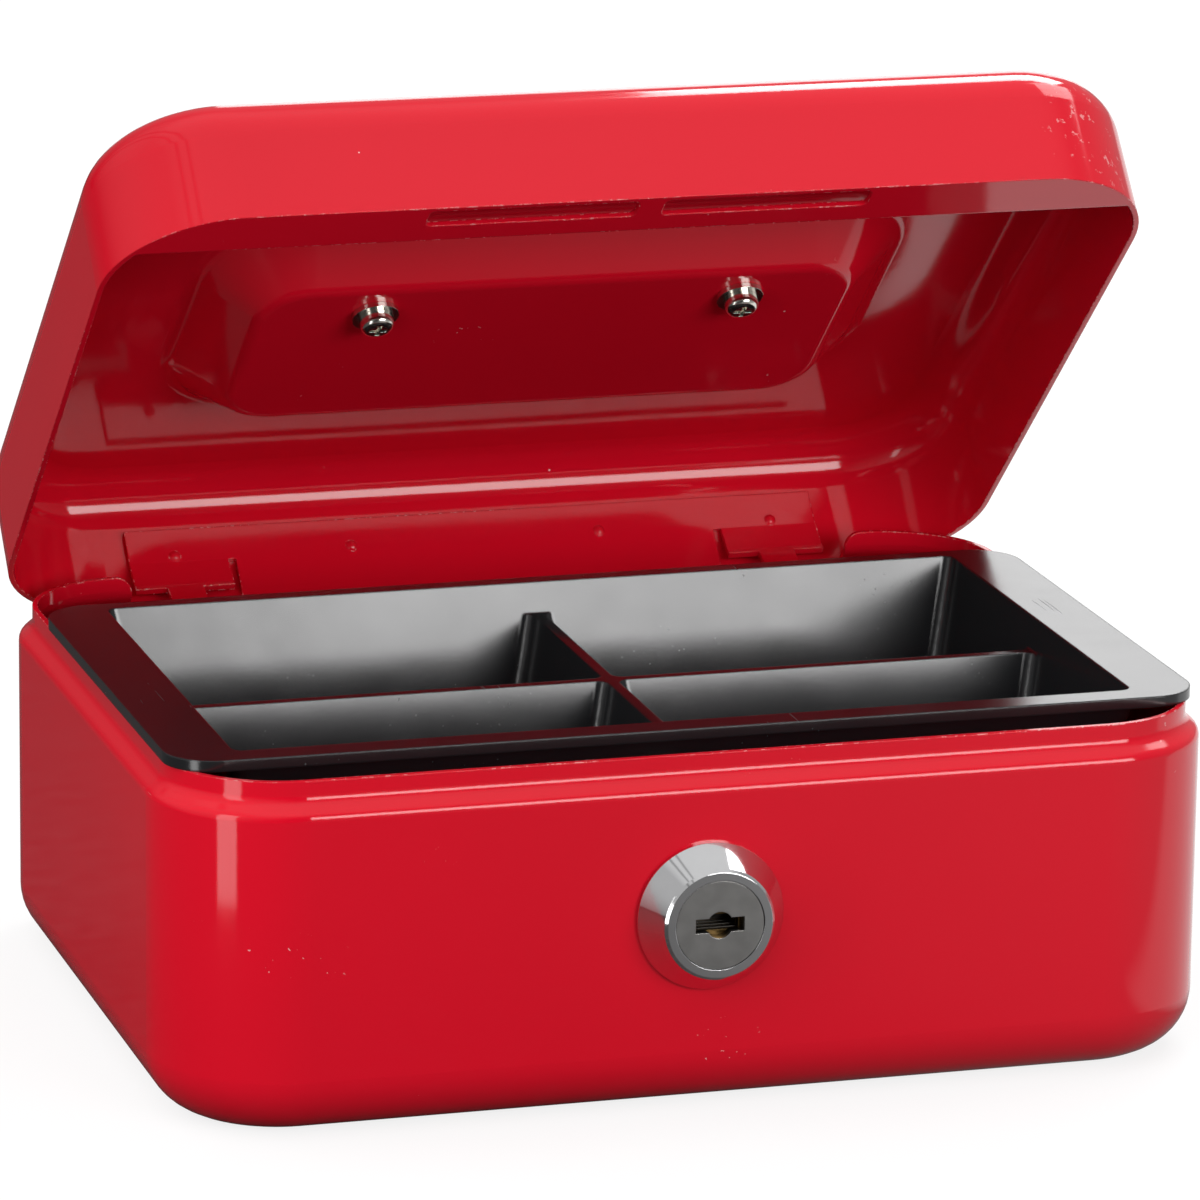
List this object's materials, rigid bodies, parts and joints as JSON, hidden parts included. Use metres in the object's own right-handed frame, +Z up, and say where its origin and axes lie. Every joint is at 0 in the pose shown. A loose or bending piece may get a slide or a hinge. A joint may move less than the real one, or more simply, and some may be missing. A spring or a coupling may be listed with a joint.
{
  "type": "cash box",
  "caption": "Small steel cash box with rounded corners, a hinged lid with a recessed folding handle, a lift-out coin tray and a key lock with a hook latch.",
  "frame": {"origin": "middle of the floor's underside, which rests on a table", "axes": "+X along the front to the right, -Y towards the front with the lock, +Z up"},
  "size_m": [0.152, 0.1355, 0.1343],
  "materials": {
    "red_paint": "gloss",
    "black_plastic": "gloss",
    "chrome": "polished",
    "nickel": "bright nickel",
    "satin_nickel": "satin",
    "zinc_steel": "zinc plated",
    "brass": "plain"
  },
  "bodies": {
    "base": {"body_shell": "red_paint", "hinge_bracket_left": "red_paint", "hinge_bracket_right": "red_paint", "hinge_pin_left": "zinc_steel", "hinge_pin_right": "zinc_steel", "lock_housing": "chrome", "lock_washer": "zinc_steel", "lock_nut": "zinc_steel"},
    "lid": {"lid_shell": "red_paint", "lid_hinge_leaf": "red_paint", "handle_lug_left": "chrome", "handle_lug_right": "chrome", "handle_screws": "nickel", "handle_washers": "nickel"},
    "handle": {"handle_bail": "chrome"},
    "tray": {"coin_tray": "black_plastic"},
    "lock": {"lock_plug": "satin_nickel", "wafer_springs": "zinc_steel", "stop_washer": "zinc_steel", "latch_hook": "zinc_steel", "hook_washer": "zinc_steel", "hook_screw": "zinc_steel"},
    "wafers": {"wafer_tumblers": "brass"}
  },
  "joints": [
    {"name": "lid_hinge", "type": "hinge", "parent": "base", "child": "lid", "pos_m": [0, 0.0503, 0.04315], "axis": [-1, 0, 0], "range_deg": [-42.3, 44.7]},
    {"name": "handle_swing", "type": "hinge", "parent": "lid", "child": "handle", "pos_m": [0, 0.02694, 0.10158], "axis": [1, 0, 0], "range_deg": [0, 100]},
    {"name": "tray_lift", "type": "slide", "parent": "base", "child": "tray", "axis": [0, 0, 1], "range_m": [0, 0.018]},
    {"name": "lock_turn", "type": "hinge", "parent": "base", "child": "lock", "pos_m": [-0.001, -0.058, 0.0282], "axis": [0, 1, 0], "range_deg": [0, 90]},
    {"name": "wafer_slide", "type": "slide", "parent": "lock", "child": "wafers", "axis": [1, 0, 0], "range_m": [-0.0008, 0]}
  ]
}
